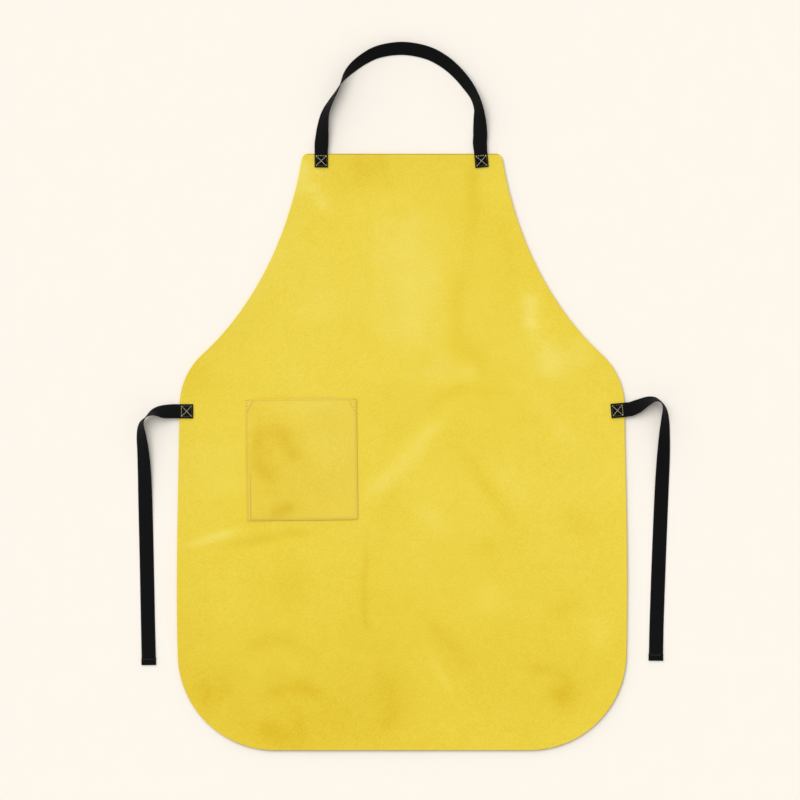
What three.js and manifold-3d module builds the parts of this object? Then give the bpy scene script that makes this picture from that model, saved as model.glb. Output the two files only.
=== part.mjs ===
// A split-leather welding apron, lying flat on its back with its front face up.
//
// One hide panel carries a patch pocket, a neck strap sewn across the bib and a waist tie on each
// side. The straps are black webbing. Each strap's end is turned under and sewn to the panel with a
// box and a cross of thread, and beyond that seam the strap is free and swings about the panel's edge.
//
// Millimetres. +Z points out of the front, +Y towards the bib and +X to the viewer's right.
// The origin is on the floor, under the middle of the hide panel.

import * as THREE from "three";
import { mergeVertices } from "three/addons/utils/BufferGeometryUtils.js";
import Module from "manifold-3d";

const wasm = await Module();
wasm.setup();

// ---- Driving dimensions ----

// Leather
const PANEL_WIDTH = 601;
const PANEL_LENGTH = 799;
const LEATHER_THICKNESS = 1.5;
const BIB_WIDTH = 266;
const BIB_CORNER = 8;
const SIDE_TAPER = 2.5;
const SHOULDER_RADIUS = 94;
const SHOULDER_ABOVE_HEM = 461;
const SHOULDER_SLOPE = 42.3;
const ARMHOLE_LEAN = 9.7;
const ARMHOLE_UPPER_PULL = 117;
const ARMHOLE_LOWER_PULL = 82;
const HEM_CORNER_RADIUS = 130;

// Pocket
const POCKET_WIDTH = 150;
const POCKET_DEPTH = 161;
const POCKET_FROM_MIDDLE = -134.5;
const POCKET_MOUTH_ABOVE_HEM = 469.5;
const POCKET_TURN = 0.7;
const POCKET_SIDE_MARGIN = 12;
const POCKET_BOTTOM_MARGIN = 8;
const POCKET_ROOM = 5.5;
const POCKET_FULLNESS = 4;
const MOUTH_TACK_WIDTH = 8;
const MOUTH_TACK_HEIGHT = 13;

// Webbing
const STRAP_WIDTH = 18.5;
const STRAP_THICKNESS = 1.2;
const SELVEDGE_THINNING = 0.06;
const NECK_STRAP_FROM_BIB_SIDE = 26;
const LEFT_TIE_ABOVE_HEM = 454.2;
const RIGHT_TIE_ABOVE_HEM = 456;
const SEWN_END_MARGIN = 1.6;
const TURN_UNDER_FROM_EDGE = 1;
const HINGE_BEYOND_EDGE = 3.2;
const HINGE_GAP = 0.9;
const TIE_HEM_LENGTH = 9;
const TIE_HEM_SEAM = 6.7;

// Thread
const THREAD_WIDTH = 0.8;
const THREAD_HEIGHT = 0.5;
const STITCH_INSET = 2.5;
const BOX_STITCH_FROM_SELVEDGE = 2.45;
const BOX_STITCH_FROM_EDGE = 3.3;
const HEM_STITCH_FROM_SELVEDGE = 1.25;
const ARROW_STITCH_WIDTH = 14;
const ARROW_STITCH_HEIGHT = 8;
const ARROW_STITCH_BELOW_STRAP = 3;

// Space kept between pieces that lie on each other
const GAP = 0.3;

// Steps of a strap's solid from each stop of its route to the next
const STEPS_PER_STOP = 3;

// The route of each strap's centre line beyond its hinge. Each stop is x and y from the middle of
// the strap's seam on the panel's edge, then the height above webbing that lies flat on the floor,
// all in millimetres, and last the lean of the webbing about its own line in degrees: flat at 0, on
// its edge at 90 and flat on its other face at 180. The neck strap's crown is measured from the
// middle of the bib.
const NECK_LEFT_SIDE = [
  [0, 8.5, 3.3, -6],
  [0.4, 22.5, 4.6, -22],
  [1.3, 37.5, 6.4, -38],
  [4.8, 55.5, 8.2, -57],
  [11.8, 70, 9, -70],
  [19.8, 83.5, 9.3, -81],
  [25.8, 95, 9.4, -91],
  [31.8, 105, 9, -110],
  [42, 116, 7.8, -127],
  [56.5, 127, 7, -137],
  [74.4, 136, 5.8, -146],
];
const NECK_CROWN = [[0, 141, 4.6, -153]];
const NECK_RIGHT_SIDE = [
  [-74, 135.4, 4.6, -153],
  [-53, 125, 5.2, -149],
  [-35.6, 110.8, 5.9, -144],
  [-21, 94, 6.8, -139],
  [-9.6, 76, 8, -127],
  [-4.2, 59.3, 7.8, -131],
  [-3, 45.5, 5.6, -150],
  [-2.2, 30.5, 4, -168],
  [-0.6, 15, 3.2, -178],
  [0, 8.5, 3, -180],
];
const LEFT_TIE = [
  [-9, 0, 3.5, 4],
  [-16.5, -0.4, 5, 14],
  [-24, -0.8, 7.2, 29],
  [-30.5, -1.3, 9.6, 50],
  [-36, -2.5, 11.4, 67],
  [-41.5, -5.2, 12.4, 82],
  [-46, -9.5, 12.6, 87],
  [-49.2, -15, 12, 73],
  [-50.7, -22.5, 10.4, 58],
  [-50.4, -34.5, 8.2, 44],
  [-48.5, -54, 5.6, 31],
  [-47, -79.5, 3.4, 19],
  [-46, -115, 1.4, 8],
  [-45, -155, 0.3, 1],
  [-44, -200, 0.1, 0],
  [-43, -250, 0.1, 0],
  [-42, -300, 0.2, 0],
  [-41.5, -323, 0.9, 0],
  [-41.3, -331, 1.3, 0],
  [-41.2, -339, 1.3, 0],
];
const RIGHT_TIE = [
  [8, 0, 3.5, -4],
  [15, 2.9, 5, -16],
  [23.5, 8, 7.4, -37],
  [32, 12, 10, -54],
  [39.8, 13.8, 11.9, -71],
  [46.2, 12.3, 12.7, -84],
  [50.2, 8.1, 12.6, -84],
  [52.8, 0.9, 11.6, -71],
  [53.8, -12.5, 9.2, -54],
  [53.1, -35.5, 6.4, -36],
  [51.8, -65.5, 3.8, -20],
  [50.4, -93.5, 2, -11],
  [48.4, -140, 0.5, -3],
  [46.2, -195, 0.1, 0],
  [44.4, -245, 0.1, 0],
  [42.8, -296, 0.2, 0],
  [42.3, -319, 0.9, 0],
  [42.1, -327, 1.3, 0],
  [42, -335, 1.3, 0],
];

// ---- Places worked out from the driving dimensions ----

const HEM_LEVEL = -PANEL_LENGTH / 2;
const BIB_LEVEL = PANEL_LENGTH / 2;
const SHOULDER_HALF_WIDTH = PANEL_WIDTH / 2 - SIDE_TAPER;
const FRONT_FACE = LEATHER_THICKNESS;
const STRAP_BOTTOM = FRONT_FACE + GAP;
const STRAP_FOLD_TOP = STRAP_BOTTOM + 2 * STRAP_THICKNESS;
const HINGE_HEIGHT = STRAP_FOLD_TOP - STRAP_THICKNESS / 2;
const BOX_STITCH_SIZE = STRAP_WIDTH - 2 * BOX_STITCH_FROM_SELVEDGE;
const SEWN_LENGTH = BOX_STITCH_FROM_EDGE + BOX_STITCH_SIZE + SEWN_END_MARGIN;
const POCKET_MOUTH_LEVEL = POCKET_DEPTH / 2;
const POCKET_FACE = FRONT_FACE + GAP + LEATHER_THICKNESS;

// ---- Materials ----

const leather = new THREE.MeshStandardMaterial({ color: 0xebcf42, roughness: 0.9, metalness: 0 });
const pocketLeather = new THREE.MeshStandardMaterial({ color: 0xe6c83e, roughness: 0.9, metalness: 0 });
const webbing = new THREE.MeshStandardMaterial({ color: 0x17171a, roughness: 0.75, metalness: 0 });
const paleThread = new THREE.MeshStandardMaterial({ color: 0xe9dfa6, roughness: 0.6, metalness: 0 });
const yellowThread = new THREE.MeshStandardMaterial({ color: 0xe3c757, roughness: 0.6, metalness: 0 });
const blackThread = new THREE.MeshStandardMaterial({ color: 0x202024, roughness: 0.6, metalness: 0 });

const apron = new THREE.Group();

function addPiece(parent, name, geometry, material) {
  const piece = new THREE.Mesh(geometry, material);
  piece.name = name;
  parent.add(piece);
  return piece;
}

// ---- Joining solids ----

function solidFrom(geometry) {
  const bare = new THREE.BufferGeometry();
  const flat = geometry.index ? geometry.toNonIndexed() : geometry;
  bare.setAttribute("position", flat.getAttribute("position"));
  const merged = mergeVertices(bare, 1e-4);
  const vertProperties = merged.getAttribute("position").array;
  const triVerts = new Uint32Array(merged.index.array);
  return new wasm.Manifold(new wasm.Mesh({ numProp: 3, vertProperties, triVerts }));
}

function joined(geometries) {
  let whole = solidFrom(geometries[0]);
  for (const geometry of geometries.slice(1)) {
    whole = whole.add(solidFrom(geometry));
  }
  const mesh = whole.getMesh();
  const result = new THREE.BufferGeometry();
  result.setAttribute("position", new THREE.BufferAttribute(new Float32Array(mesh.vertProperties), 3));
  result.setIndex(new THREE.BufferAttribute(new Uint32Array(mesh.triVerts), 1));
  result.computeVertexNormals();
  return result;
}

// ---- Leather pieces ----

// The panel's right-hand edge, walked from the middle of the bib down to the middle of the hem.
function drawRightEdge(outline) {
  const bibHalf = BIB_WIDTH / 2;
  const lean = THREE.MathUtils.degToRad(ARMHOLE_LEAN);
  const slope = THREE.MathUtils.degToRad(SHOULDER_SLOPE);
  const armholeTop = new THREE.Vector2(
    bibHalf + BIB_CORNER * Math.tan(lean),
    BIB_LEVEL - BIB_CORNER,
  );
  const shoulderCentre = new THREE.Vector2(
    SHOULDER_HALF_WIDTH - SHOULDER_RADIUS,
    HEM_LEVEL + SHOULDER_ABOVE_HEM,
  );
  const shoulderTop = new THREE.Vector2(
    shoulderCentre.x + SHOULDER_RADIUS * Math.sin(slope),
    shoulderCentre.y + SHOULDER_RADIUS * Math.cos(slope),
  );
  outline.lineTo(bibHalf - BIB_CORNER, BIB_LEVEL);
  outline.quadraticCurveTo(bibHalf, BIB_LEVEL, armholeTop.x, armholeTop.y);
  outline.bezierCurveTo(
    armholeTop.x + ARMHOLE_UPPER_PULL * Math.sin(lean),
    armholeTop.y - ARMHOLE_UPPER_PULL * Math.cos(lean),
    shoulderTop.x - ARMHOLE_LOWER_PULL * Math.cos(slope),
    shoulderTop.y + ARMHOLE_LOWER_PULL * Math.sin(slope),
    shoulderTop.x,
    shoulderTop.y,
  );
  outline.absarc(
    shoulderCentre.x,
    shoulderCentre.y,
    SHOULDER_RADIUS,
    Math.PI / 2 - slope,
    0,
    true,
  );
  outline.absarc(
    PANEL_WIDTH / 2 - HEM_CORNER_RADIUS,
    HEM_LEVEL + HEM_CORNER_RADIUS,
    HEM_CORNER_RADIUS,
    0,
    -Math.PI / 2,
    true,
  );
}

function panelOutline() {
  const rightHalf = new THREE.Path();
  rightHalf.moveTo(0, BIB_LEVEL);
  drawRightEdge(rightHalf);
  const right = rightHalf.getPoints(14);
  const left = right
    .slice(1)
    .reverse()
    .map((point) => new THREE.Vector2(-point.x, point.y));
  return new THREE.Shape([...right, ...left]);
}

function apronPanel() {
  return new THREE.ExtrudeGeometry(panelOutline(), {
    depth: LEATHER_THICKNESS,
    bevelEnabled: false,
  });
}

// How far the pocket's leather stands off its sewn level at a point of the pocket,
// with x and y measured from the pocket's middle.
function pocketRise(x, y) {
  const halfRoom = POCKET_WIDTH / 2 - POCKET_SIDE_MARGIN;
  const roomDepth = POCKET_DEPTH - POCKET_BOTTOM_MARGIN;
  const across = Math.min(Math.abs(x) / halfRoom, 1);
  const down = THREE.MathUtils.clamp((POCKET_MOUTH_LEVEL - y) / roomDepth, 0, 1);
  return POCKET_ROOM * (1 - across ** POCKET_FULLNESS) * (1 - down ** POCKET_FULLNESS);
}

function raiseByPocket(geometry) {
  const points = geometry.getAttribute("position");
  for (let i = 0; i < points.count; i += 1) {
    points.setZ(i, points.getZ(i) + pocketRise(points.getX(i), points.getY(i)));
  }
  geometry.computeVertexNormals();
  return geometry;
}

function pocket() {
  const sheet = new THREE.BoxGeometry(POCKET_WIDTH, POCKET_DEPTH, LEATHER_THICKNESS, 25, 20, 1);
  sheet.translate(0, 0, FRONT_FACE + GAP + LEATHER_THICKNESS / 2);
  return raiseByPocket(sheet);
}

// ---- Thread ----

// A straight run of stitches from one point to another, its underside at the height given.
function stitchRun(from, to, height) {
  const along = new THREE.Vector2().subVectors(to, from);
  const run = new THREE.BoxGeometry(along.length() + THREAD_WIDTH, THREAD_WIDTH, THREAD_HEIGHT);
  run.rotateZ(along.angle());
  run.translate((from.x + to.x) / 2, (from.y + to.y) / 2, height + THREAD_HEIGHT / 2);
  return run;
}

function stitchPath(points, height) {
  return points.slice(1).map((point, i) => stitchRun(points[i], point, height));
}

// The pocket's two sides and bottom, with a short slanting tack at each end of the mouth.
function pocketSeam() {
  const side = POCKET_WIDTH / 2 - STITCH_INSET;
  const bottom = -POCKET_DEPTH / 2 + STITCH_INSET;
  const top = POCKET_MOUTH_LEVEL - STITCH_INSET;
  const tackTop = top - 2 * THREAD_WIDTH;
  const height = POCKET_FACE + GAP;
  const seam = [
    new THREE.Vector2(-side, top),
    new THREE.Vector2(-side, bottom),
    new THREE.Vector2(side, bottom),
    new THREE.Vector2(side, top),
  ];
  const tacks = [-1, 1].map((hand) =>
    stitchRun(
      new THREE.Vector2(hand * (side - MOUTH_TACK_WIDTH), tackTop),
      new THREE.Vector2(hand * side, tackTop - MOUTH_TACK_HEIGHT),
      height,
    ),
  );
  return joined([...stitchPath(seam, height), ...tacks]);
}

// The mouth's hem is sewn before the pocket goes on, so its thread follows the pocket's bulge.
function pocketHemThread() {
  const length = POCKET_WIDTH - 2 * STITCH_INSET - 3 * THREAD_WIDTH;
  const run = new THREE.BoxGeometry(length, THREAD_WIDTH, THREAD_HEIGHT, 24, 1, 1);
  run.translate(0, POCKET_MOUTH_LEVEL - STITCH_INSET, POCKET_FACE + GAP + THREAD_HEIGHT / 2);
  return raiseByPocket(run);
}

// A square of stitches with a cross inside it, on a sewn strap end. It lies along +X from the
// panel's edge, which is at x = 0, with the panel on the side of minus x.
function boxStitch() {
  const half = BOX_STITCH_SIZE / 2;
  const corners = [
    new THREE.Vector2(-half, -half),
    new THREE.Vector2(half, -half),
    new THREE.Vector2(half, half),
    new THREE.Vector2(-half, half),
  ];
  const height = STRAP_FOLD_TOP + GAP;
  const square = stitchPath([...corners, corners[0]], height);
  const cross = [
    stitchRun(corners[0], corners[2], height),
    stitchRun(corners[1], corners[3], height),
  ];
  const stitch = joined([...square, ...cross]);
  stitch.translate(-BOX_STITCH_FROM_EDGE - half, 0, 0);
  return stitch;
}

// A small arrowhead of stitches in the leather just below a neck strap's sewn end.
function arrowStitch() {
  const half = ARROW_STITCH_WIDTH / 2;
  const tip = -SEWN_LENGTH - ARROW_STITCH_BELOW_STRAP - ARROW_STITCH_HEIGHT;
  const arrow = [
    new THREE.Vector2(tip + ARROW_STITCH_HEIGHT, -half),
    new THREE.Vector2(tip, 0),
    new THREE.Vector2(tip + ARROW_STITCH_HEIGHT, half),
  ];
  return joined(stitchPath(arrow, FRONT_FACE + GAP));
}

// ---- Webbing ----

// A strap's sewn end, turned under itself. It lies along +X like the box stitch.
function sewnEnd() {
  const middle = STRAP_BOTTOM + STRAP_THICKNESS;
  const hingeSide = HINGE_BEYOND_EDGE - STRAP_THICKNESS / 2 - HINGE_GAP;
  const foldCentre = -SEWN_LENGTH + STRAP_THICKNESS;
  const profile = new THREE.Shape();
  profile.moveTo(-TURN_UNDER_FROM_EDGE, STRAP_BOTTOM);
  profile.lineTo(-TURN_UNDER_FROM_EDGE, middle);
  profile.lineTo(hingeSide, middle);
  profile.lineTo(hingeSide, STRAP_FOLD_TOP);
  profile.lineTo(foldCentre, STRAP_FOLD_TOP);
  profile.absarc(foldCentre, middle, STRAP_THICKNESS, Math.PI / 2, (3 * Math.PI) / 2, false);
  const end = new THREE.ExtrudeGeometry(profile, {
    depth: STRAP_WIDTH,
    bevelEnabled: false,
    curveSegments: 6,
  });
  end.rotateX(Math.PI / 2);
  end.translate(0, STRAP_WIDTH / 2, 0);
  return end;
}

// A strap's route, whose cross-sections lean as the route says.
class StrapRoute extends THREE.CatmullRomCurve3 {
  constructor(stops) {
    super(stops.map(([x, y, z]) => new THREE.Vector3(x, y, z)));
    this.leans = stops.map((stop) => THREE.MathUtils.degToRad(stop[3]));
  }

  getSpacedPoints(steps) {
    return this.getPoints(steps);
  }

  leanAt(share) {
    const place = share * (this.leans.length - 1);
    const before = Math.min(Math.floor(place), this.leans.length - 2);
    return THREE.MathUtils.lerp(this.leans[before], this.leans[before + 1], place - before);
  }

  computeFrenetFrames(steps) {
    const frames = { tangents: [], normals: [], binormals: [] };
    for (let step = 0; step <= steps; step += 1) {
      const along = this.getTangent(step / steps);
      const across = new THREE.Vector3(along.y, -along.x, 0).normalize();
      across.applyAxisAngle(along, this.leanAt(step / steps));
      frames.tangents.push(along);
      frames.normals.push(across);
      frames.binormals.push(new THREE.Vector3().crossVectors(along, across));
    }
    return frames;
  }
}

// Flat webbing, a hair thinner towards its selvedges, with a small chamfer along each edge.
function strapSection() {
  const halfWidth = STRAP_WIDTH / 2;
  const halfThickness = STRAP_THICKNESS / 2;
  const chamfer = halfThickness / 2;
  const corner = [
    [halfWidth, halfThickness - chamfer],
    [halfWidth - chamfer, halfThickness - SELVEDGE_THINNING],
  ];
  const mirrored = corner.map(([x, y]) => [-x, y]).reverse();
  const upper = [...corner, [0, halfThickness], ...mirrored];
  const lower = upper.map(([x, y]) => [-x, -y]);
  return new THREE.Shape([...upper, ...lower].map(([x, y]) => new THREE.Vector2(x, y)));
}

function strap(stops) {
  return new THREE.ExtrudeGeometry(strapSection(), {
    steps: STEPS_PER_STOP * (stops.length - 1),
    extrudePath: new StrapRoute(stops),
  });
}

// A waist tie, whose free end is folded under itself and hemmed.
function waistTie(stops) {
  const [x, y, z] = stops[stops.length - 1];
  const overlap = STRAP_THICKNESS / 4;
  const fold = new THREE.BoxGeometry(STRAP_WIDTH, TIE_HEM_LENGTH, STRAP_THICKNESS);
  fold.translate(x, y + TIE_HEM_LENGTH / 2, z - STRAP_THICKNESS + overlap);
  return joined([strap(stops), fold]);
}

function tieHemThread(stops) {
  const [x, y, z] = stops[stops.length - 1];
  const level = y + TIE_HEM_SEAM;
  const half = STRAP_WIDTH / 2 - HEM_STITCH_FROM_SELVEDGE;
  return stitchRun(
    new THREE.Vector2(x - half, level),
    new THREE.Vector2(x + half, level),
    z + STRAP_THICKNESS / 2 + GAP,
  );
}

// ---- Seams ----

// Half the panel's width on its straight side, between the shoulder and the hem's corner.
function sideHalfWidth(level) {
  const top = HEM_LEVEL + SHOULDER_ABOVE_HEM;
  const bottom = HEM_LEVEL + HEM_CORNER_RADIUS;
  const share = (top - level) / (top - bottom);
  return THREE.MathUtils.lerp(SHOULDER_HALF_WIDTH, PANEL_WIDTH / 2, share);
}

// A seam is where a strap's middle crosses the panel's edge, and outward is its way off the panel.
const bibWay = new THREE.Vector2(0, 1);
const leftWay = new THREE.Vector2(-1, 0);
const rightWay = new THREE.Vector2(1, 0);
const neckSeamX = BIB_WIDTH / 2 - NECK_STRAP_FROM_BIB_SIDE;
const neckLeftSeam = { x: -neckSeamX, y: BIB_LEVEL, outward: bibWay };
const neckRightSeam = { x: neckSeamX, y: BIB_LEVEL, outward: bibWay };
const bibMiddle = { x: 0, y: BIB_LEVEL };
const leftTieLevel = HEM_LEVEL + LEFT_TIE_ABOVE_HEM;
const rightTieLevel = HEM_LEVEL + RIGHT_TIE_ABOVE_HEM;
const leftTieSeam = { x: -sideHalfWidth(leftTieLevel), y: leftTieLevel, outward: leftWay };
const rightTieSeam = { x: sideHalfWidth(rightTieLevel), y: rightTieLevel, outward: rightWay };

// The free strap starts just behind its hinge line, so that its end turns clear of the sewn end.
function hingeStop(seam, lean) {
  const beyond = HINGE_BEYOND_EDGE - STRAP_THICKNESS / 2;
  return [
    seam.x + beyond * seam.outward.x,
    seam.y + beyond * seam.outward.y,
    HINGE_HEIGHT,
    lean,
  ];
}

function stopsFrom(place, stops) {
  return stops.map(([x, y, height, lean]) => [
    place.x + x,
    place.y + y,
    STRAP_THICKNESS / 2 + height,
    lean,
  ]);
}

const neckStops = [
  hingeStop(neckLeftSeam, 0),
  ...stopsFrom(neckLeftSeam, NECK_LEFT_SIDE),
  ...stopsFrom(bibMiddle, NECK_CROWN),
  ...stopsFrom(neckRightSeam, NECK_RIGHT_SIDE),
  hingeStop(neckRightSeam, -180),
];
const leftTieStops = [hingeStop(leftTieSeam, 0), ...stopsFrom(leftTieSeam, LEFT_TIE)];
const rightTieStops = [hingeStop(rightTieSeam, 0), ...stopsFrom(rightTieSeam, RIGHT_TIE)];

// ---- Assembly ----

addPiece(apron, "apron_panel", apronPanel(), leather);

const pocketGroup = new THREE.Group();
pocketGroup.position.x = POCKET_FROM_MIDDLE;
pocketGroup.position.y = HEM_LEVEL + POCKET_MOUTH_ABOVE_HEM - POCKET_DEPTH / 2;
pocketGroup.rotation.z = THREE.MathUtils.degToRad(POCKET_TURN);
addPiece(pocketGroup, "pocket", pocket(), pocketLeather);
addPiece(pocketGroup, "pocket_seam_thread", pocketSeam(), yellowThread);
addPiece(pocketGroup, "pocket_mouth_hem_thread", pocketHemThread(), yellowThread);
apron.add(pocketGroup);

function seamGroup(seam) {
  const group = new THREE.Group();
  group.position.set(seam.x, seam.y, 0);
  group.rotation.z = seam.outward.angle();
  apron.add(group);
  return group;
}

const seams = {
  neck_strap_left: neckLeftSeam,
  neck_strap_right: neckRightSeam,
  left_waist_tie: leftTieSeam,
  right_waist_tie: rightTieSeam,
};
for (const [name, seam] of Object.entries(seams)) {
  const group = seamGroup(seam);
  addPiece(group, `${name}_sewn_end`, sewnEnd(), webbing);
  addPiece(group, `${name}_box_stitch`, boxStitch(), paleThread);
  if (seam.outward === bibWay) {
    addPiece(group, `${name}_arrow_stitch`, arrowStitch(), paleThread);
  }
}

addPiece(apron, "neck_strap", strap(neckStops), webbing);
addPiece(apron, "left_waist_tie", waistTie(leftTieStops), webbing);
addPiece(apron, "right_waist_tie", waistTie(rightTieStops), webbing);
addPiece(apron, "left_waist_tie_hem_thread", tieHemThread(leftTieStops), blackThread);
addPiece(apron, "right_waist_tie_hem_thread", tieHemThread(rightTieStops), blackThread);

export default apron;
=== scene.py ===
# The looks of a split-leather welding apron that lies on its back on a pale floor.
#
# Metres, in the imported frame: +Z out of the apron's front, +Y towards the bib, +X to the viewer's
# right, and the origin on the floor under the middle of the hide panel.

import math

import bpy
import numpy as np
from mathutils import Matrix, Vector, noise


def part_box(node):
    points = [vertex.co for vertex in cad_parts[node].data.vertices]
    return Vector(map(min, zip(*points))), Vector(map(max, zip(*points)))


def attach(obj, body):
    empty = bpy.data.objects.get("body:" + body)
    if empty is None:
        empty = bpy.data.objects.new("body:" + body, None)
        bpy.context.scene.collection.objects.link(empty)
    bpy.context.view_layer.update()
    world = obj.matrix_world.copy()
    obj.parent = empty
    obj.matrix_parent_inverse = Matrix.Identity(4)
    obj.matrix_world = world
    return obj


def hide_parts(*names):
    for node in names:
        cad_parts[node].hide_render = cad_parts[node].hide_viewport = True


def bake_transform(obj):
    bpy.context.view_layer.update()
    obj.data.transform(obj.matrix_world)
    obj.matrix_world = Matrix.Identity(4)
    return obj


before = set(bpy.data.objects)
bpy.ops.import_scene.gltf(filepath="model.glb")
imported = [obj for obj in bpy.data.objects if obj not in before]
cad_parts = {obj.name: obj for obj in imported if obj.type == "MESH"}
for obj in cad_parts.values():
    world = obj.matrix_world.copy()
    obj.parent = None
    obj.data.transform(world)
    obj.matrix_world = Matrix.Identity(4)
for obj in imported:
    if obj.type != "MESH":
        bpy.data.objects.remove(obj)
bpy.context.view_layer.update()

MM = 0.001

# ---- Sizes ----

panel_low, panel_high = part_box("apron_panel")
pocket_low, pocket_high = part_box("pocket")

LEATHER_THICKNESS = panel_high.z - panel_low.z
CUT_EDGE_ROUNDING = 0.45 * MM
LEAST_CLEARANCE = 0.3 * MM

POCKET_WIDTH = 150 * MM
POCKET_DEPTH = 163.6 * MM
POCKET_TURN = math.radians(0.7)
POCKET_BULGE = 2.4 * MM
POCKET_CORNER = 4 * MM
pocket_middle = (pocket_low + pocket_high) / 2 + Vector((0, 0.6 * MM, 0))

STRAP_WIDTH = 18.5 * MM
STRAP_THICKNESS = 1.2 * MM
ROUTE_SPACING = 2.2 * MM
SEWN_END_BEYOND_EDGE = 1.7 * MM
FREE_STRAP_BEYOND_EDGE = 2.6 * MM
TURN_UNDER_FROM_EDGE = 1 * MM
TIE_HEM_LENGTH = 8.5 * MM
TIE_HEM_SEAM = 6.7 * MM
HEM_WIDER = 0.045
HEM_FADE = 9 * MM
sewn_low, sewn_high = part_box("neck_strap_left_sewn_end")
SEWN_LENGTH = sewn_high.y - sewn_low.y - SEWN_END_BEYOND_EDGE
LOWER_LAYER = sewn_low.z + STRAP_THICKNESS / 2
UPPER_LAYER = sewn_high.z - STRAP_THICKNESS / 2

# How far from its seam a free strap still shows how the seam is tilted, shifted or narrowed, and
# how far it still lies as high as the leather under its sewn end. STRAIGHTENING is how strongly the
# tilt is carried along.
TILT_FADE = 26 * MM
SHIFT_FADE = 40 * MM
SPREAD_FADE = 12 * MM
CARRY_FADE = 70 * MM
STRAIGHTENING = 1.9

BOX_STITCH_WIDTH = 14.4 * MM
BOX_STITCH_LENGTH = 13.8 * MM
BOX_STITCH_FROM_EDGE = 2.8 * MM
STITCH_LEVEL = 0.46 * STRAP_THICKNESS


# ---- Camera ----

PICTURE_MIDDLE = Vector((-2.7 * MM, 69.7 * MM, 0))
PICTURE_WIDTH = 1.072
LENS = 200
SENSOR = 36

camera_data = bpy.data.cameras.new("camera")
camera_data.lens = LENS
camera_data.sensor_width = SENSOR
camera_data.clip_end = 50
camera = bpy.data.objects.new("camera", camera_data)
camera.location = PICTURE_MIDDLE + Vector((0, 0, PICTURE_WIDTH * LENS / SENSOR))
bpy.context.scene.collection.objects.link(camera)
bpy.context.scene.camera = camera
bpy.context.scene.view_settings.view_transform = "Standard"


# ---- Mesh helpers ----

def smoothstep(share):
    share = np.clip(share, 0, 1)
    return share * share * (3 - 2 * share)


def bell(share):
    """1 where share is 0, falling to about a third where it is 1."""
    return np.exp(-(share**2))


def add_piece(name, points, faces, *materials, face_materials=None):
    mesh = bpy.data.meshes.new(name)
    mesh.from_pydata([tuple(p) for p in points], [], faces)
    for material in materials:
        mesh.materials.append(material)
    if face_materials is not None:
        mesh.polygons.foreach_set("material_index", face_materials)
    mesh.polygons.foreach_set("use_smooth", [True] * len(mesh.polygons))
    mesh.validate()
    piece = bpy.data.objects.new(name, mesh)
    bpy.context.scene.collection.objects.link(piece)
    return piece


def add_number(piece, name, values):
    """Keeps one number for each vertex, which a material can read by its name."""
    attribute = piece.data.attributes.new(name, "FLOAT", "POINT")
    attribute.data.foreach_set("value", np.asarray(values, np.float32))


def noise_at(x, y, size, seed):
    """Smooth noise from about -1 to 1, with patches about as wide as size."""
    return np.array([noise.noise((a / size, b / size, seed)) for a, b in zip(x, y)])


def turned(vector, angle):
    """A flat vector, turned about Z."""
    c, s = math.cos(angle), math.sin(angle)
    return np.array([c * vector[0] - s * vector[1], s * vector[0] + c * vector[1], 0.0])


# ---- The panel's outline, from the CAD panel ----

def right_hand_outline():
    """The panel's right-hand edge as x and y, from the bib's corner down to the hem's."""
    corners = {
        (round(v.co.x, 6), round(v.co.y, 6))
        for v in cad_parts["apron_panel"].data.vertices
        if v.co.x > 1e-4
    }
    return np.array(sorted(corners, key=lambda p: (-p[1], p[0] if p[1] > 0 else -p[0])))


def along_line(points):
    """How far along a line of points each one is."""
    steps = np.linalg.norm(np.diff(points, axis=0), axis=1)
    return np.concatenate([[0], np.cumsum(steps)])


def resampled(points, spacing):
    """The same line with its points about spacing apart, smoothed through the old ones."""
    place = along_line(points)
    count = max(2, int(round(place[-1] / spacing)))
    wanted = np.linspace(0, place[-1], count + 1)
    slopes = np.gradient(points, place, axis=0)
    index = np.clip(np.searchsorted(place, wanted, side="right") - 1, 0, len(place) - 2)
    span = (place[index + 1] - place[index])[:, None]
    t = (wanted - place[index])[:, None] / span
    return (
        (2 * t**3 - 3 * t**2 + 1) * points[index]
        + (t**3 - 2 * t**2 + t) * span * slopes[index]
        + (3 * t**2 - 2 * t**3) * points[index + 1]
        + (t**3 - t**2) * span * slopes[index + 1]
    )


right_edge = resampled(right_hand_outline(), 3 * MM)


def edge_distance(x, y):
    """How far points are from the panel's cut edge."""
    edge = np.vstack([right_edge, [[0.0, panel_high.y]], [[0.0, panel_low.y]]])
    rows = np.stack([np.abs(x), y], axis=1)
    to_side = np.empty(len(rows))
    for start in range(0, len(rows), 4000):
        part = rows[start : start + 4000]
        to_side[start : start + 4000] = np.linalg.norm(
            part[:, None] - edge[None], axis=2
        ).min(axis=1)
    to_ends = np.minimum(panel_high.y - y, y - panel_low.y)
    return np.minimum(to_side, np.abs(to_ends))


# ---- How the leather lies ----

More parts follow.
